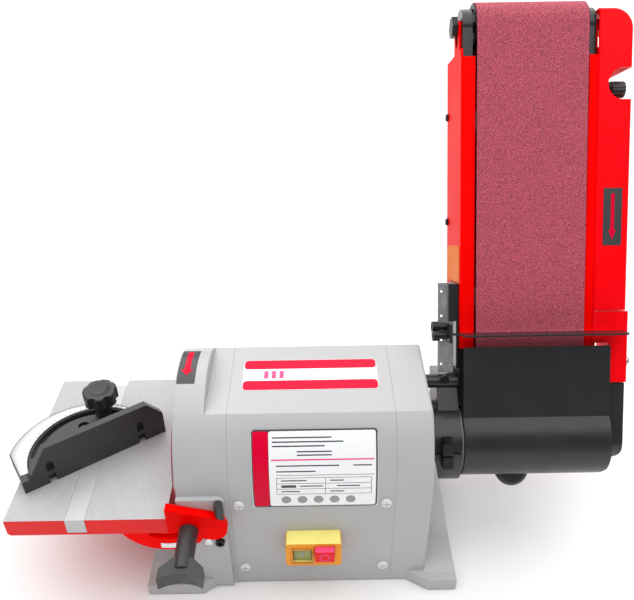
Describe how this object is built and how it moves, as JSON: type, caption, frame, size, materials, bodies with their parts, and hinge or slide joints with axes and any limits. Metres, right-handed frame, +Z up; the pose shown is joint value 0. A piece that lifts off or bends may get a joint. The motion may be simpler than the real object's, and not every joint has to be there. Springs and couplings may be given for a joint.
{
  "type": "belt and disc sander",
  "caption": "Bench sander: a motor drives a sanding disc beside a tilting table with a mitre gauge, and an abrasive belt on a leaning arm.",
  "frame": {"origin": "centre of the bench-bolt rectangle, at bench level", "axes": "+X from the disc table to the belt arm, +Y from the operator to the back, +Z up"},
  "size_m": [0.5798, 0.3725, 0.4703],
  "materials": {
    "housing_grey": "powder-coated light grey",
    "plain_steel": "mill",
    "rubber_black": "matt",
    "zinc_steel": "zinc plated",
    "label_white": "printed film",
    "switch_yellow": "moulded",
    "motor_steel": "laminated",
    "winding_copper": "varnished copper",
    "bearing_steel": "ground",
    "black_steel": "black oxide",
    "scale_aluminium": "satin",
    "black_plastic": "moulded",
    "cast_aluminium": "turned",
    "abrasive_red": "coated abrasive cloth",
    "button_green": "moulded",
    "button_red": "moulded",
    "black_paint": "satin black",
    "frame_red": "gloss red",
    "hood_black": "moulded",
    "cover_red": "moulded",
    "zinc_plate": "zinc plated",
    "spring_steel": "drawn",
    "table_cast": "milled top, red painted sides",
    "bar_aluminium": "extruded",
    "gauge_black": "black powder coat"
  },
  "bodies": {
    "base": {"motor_housing": "housing_grey", "base_plate": "plain_steel", "disc_end_cap": "housing_grey", "belt_end_cap": "housing_grey", "rubber_feet": "rubber_black", "housing_screws": "zinc_steel", "rating_plate": "label_white", "switch_box": "switch_yellow", "cable_gland": "rubber_black", "stator_core": "motor_steel", "stator_windings": "winding_copper", "disc_end_bearing": "bearing_steel", "belt_end_bearing": "bearing_steel", "lock_studs": "zinc_steel", "pad_bolts": "black_steel", "tilt_pointer": "scale_aluminium"},
    "spindle": {"motor_shaft": "bearing_steel", "rotor_core": "motor_steel", "cooling_fan": "black_plastic", "disc_plate": "cast_aluminium", "sanding_disc": "abrasive_red", "drive_drum": "cast_aluminium"},
    "start_button": {"start_button": "button_green"},
    "stop_button": {"stop_button": "button_red"},
    "belt_arm": {"arm_bracket": "black_paint", "arm_clamp_bolt": "black_steel", "left_frame_plate": "frame_red", "right_frame_plate": "frame_red", "back_guard": "frame_red", "platen": "plain_steel", "dust_hood": "hood_black", "tracking_cover": "cover_red", "lower_side_cover": "cover_red", "drum_end_cover": "hood_black", "stop_rail": "zinc_plate", "stop_holder": "black_paint", "work_stop": "black_paint", "stop_bolts": "black_steel", "rail_bolt": "black_steel", "arm_screws": "black_steel", "cover_nut": "zinc_steel", "tracking_block": "black_paint", "sanding_belt": "abrasive_red", "tension_spring": "spring_steel"},
    "idler_carriage": {"idler_carriage": "black_paint", "idler_axle": "bearing_steel"},
    "idler": {"idler_drum": "cast_aluminium"},
    "tracking_knob": {"tracking_knob": "black_plastic"},
    "table": {"sanding_table": "table_cast", "front_trunnion": "frame_red", "rear_trunnion": "frame_red", "tilt_scale": "scale_aluminium", "zero_stop_screw": "black_plastic"},
    "front_lock_knob": {"front_lock_knob": "black_plastic"},
    "rear_lock_knob": {"rear_lock_knob": "black_plastic"},
    "mitre_bar": {"mitre_bar": "bar_aluminium", "mitre_pivot_pin": "zinc_steel", "mitre_clamp_stud": "zinc_steel"},
    "mitre_head": {"mitre_head": "gauge_black"},
    "mitre_knob": {"mitre_knob": "black_plastic"}
  },
  "joints": [
    {"name": "spindle_spin", "type": "hinge", "parent": "base", "child": "spindle", "pos_m": [0, 0, 0.1073], "axis": [1, 0, 0], "continuous": true},
    {"name": "arm_tilt", "type": "hinge", "parent": "base", "child": "belt_arm", "pos_m": [0.125, 0, 0.1073], "axis": [1, 0, 0], "range_deg": [-62, 28]},
    {"name": "idler_travel", "type": "slide", "parent": "belt_arm", "child": "idler_carriage", "axis": [0, 0.4695, 0.8829], "range_m": [-0.012, 0], "stiffness_N_per_m": 2000, "springref_m": 0.008, "deforming": ["tension_spring"]},
    {"name": "idler_spin", "type": "hinge", "parent": "idler_carriage", "child": "idler", "pos_m": [0.21, 0.18173, 0.44909], "axis": [1, 0, 0], "continuous": true},
    {"name": "tracking_turn", "type": "hinge", "parent": "belt_arm", "child": "tracking_knob", "pos_m": [0.29, 0.14869, 0.39972], "axis": [1, 0, 0], "range_deg": [-180, 180]},
    {"name": "table_tilt", "type": "hinge", "parent": "base", "child": "table", "pos_m": [-0.1215, 0, 0.1138], "axis": [0, -1, 0], "range_deg": [0, 45]},
    {"name": "front_lock_turn", "type": "hinge", "parent": "base", "child": "front_lock_knob", "pos_m": [-0.10198, -0.12, 0.09428], "axis": [0, 1, 0], "range_deg": [-180, 180]},
    {"name": "rear_lock_turn", "type": "hinge", "parent": "base", "child": "rear_lock_knob", "pos_m": [-0.10198, 0.12, 0.09428], "axis": [0, 1, 0], "range_deg": [-180, 180]},
    {"name": "mitre_slide", "type": "slide", "parent": "table", "child": "mitre_bar", "axis": [0, 1, 0], "range_m": [-0.06, 0.06]},
    {"name": "mitre_turn", "type": "hinge", "parent": "mitre_bar", "child": "mitre_head", "pos_m": [-0.1995, -0.022, 0.1173], "axis": [0, 0, 1], "range_deg": [-94, 26]},
    {"name": "mitre_knob_turn", "type": "hinge", "parent": "mitre_bar", "child": "mitre_knob", "pos_m": [-0.1995, 0.029, 0.1373], "axis": [0, 0, 1], "range_deg": [-180, 180]},
    {"name": "start_press", "type": "slide", "parent": "base", "child": "start_button", "axis": [0, 1, 0], "range_m": [0, 0.003], "stiffness_N_per_m": 300},
    {"name": "stop_press", "type": "slide", "parent": "base", "child": "stop_button", "axis": [0, 1, 0], "range_m": [0, 0.003], "stiffness_N_per_m": 300}
  ],
  "couplings": [
    {"joint": "idler_spin", "follows": "spindle_spin", "ratio": 1.15}
  ]
}
